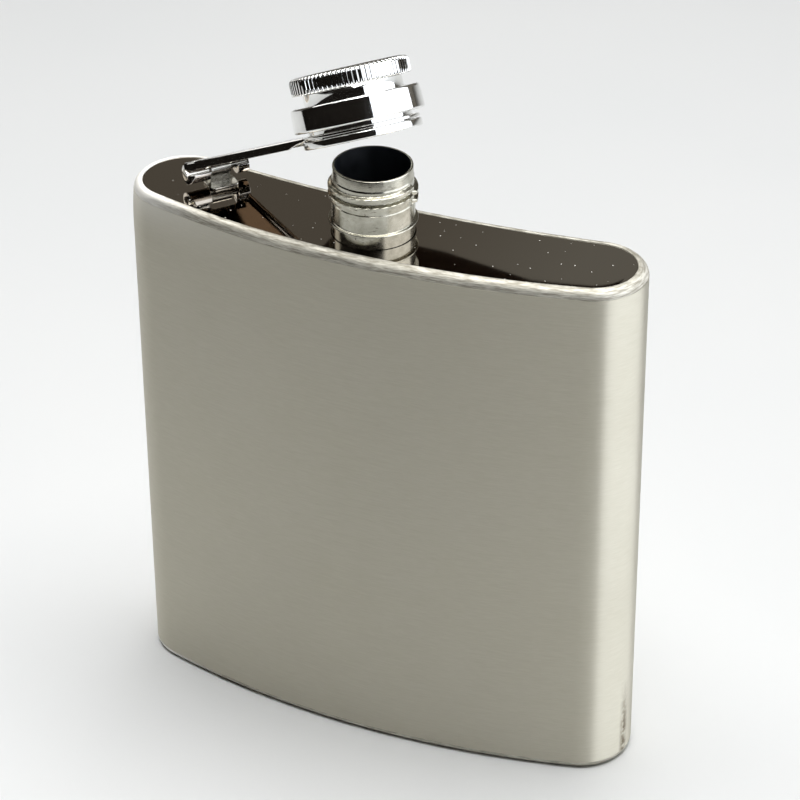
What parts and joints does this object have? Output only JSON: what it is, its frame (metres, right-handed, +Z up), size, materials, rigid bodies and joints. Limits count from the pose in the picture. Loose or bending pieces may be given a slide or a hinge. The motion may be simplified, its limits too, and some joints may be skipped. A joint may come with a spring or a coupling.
{
  "type": "hip flask",
  "caption": "Curved flat steel pocket flask with a threaded neck and a knurled screw cap held by a hinged arm.",
  "frame": {"origin": "middle of the flat base, at half thickness and half width of the body", "axes": "+Z up along the neck bore; +X along the width, to the right of a viewer who faces the bulging front; +Y from the bulging front to the hollow back"},
  "size_m": [0.095, 0.0258, 0.1289],
  "materials": {
    "brushed_wall": "brushed along the width, satin",
    "ground_rim": "ground weld band with fine scratches",
    "mirror_plate": "mirror polished",
    "neck_steel": "turned and polished, slightly scuffed",
    "base_steel": "brushed",
    "arm_chrome": "polished",
    "hinge_steel": "polished",
    "cap_chrome": "polished chrome",
    "insert_plastic": "moulded",
    "gasket_rubber": "soft silicone"
  },
  "bodies": {
    "flask": {"front_shell": "brushed_wall", "back_shell": "brushed_wall", "top_rim_weld": "ground_rim", "top_plate": "mirror_plate", "bottom_rim_weld": "ground_rim", "bottom_plate": "base_steel", "neck_spout": "neck_steel", "hinge_bracket": "hinge_steel", "hinge_pin": "hinge_steel"},
    "arm": {"cap_arm": "arm_chrome"},
    "cap": {"cap_grip": "cap_chrome", "cap_skirt": "cap_chrome", "cap_thread_insert": "insert_plastic", "cap_gasket": "gasket_rubber", "cap_retainer": "cap_chrome"}
  },
  "joints": [
    {"name": "arm_swing", "type": "hinge", "parent": "flask", "child": "arm", "pos_m": [-0.0325, 0.0048, 0.1005], "axis": [-0.6157, -0.788, 0], "range_deg": [-28, 145]},
    {"name": "cap_spin", "type": "hinge", "parent": "arm", "child": "cap", "pos_m": [-0.00445, 0.00347, 0.11824], "axis": [-0.3699, 0.289, 0.8829], "continuous": true}
  ]
}
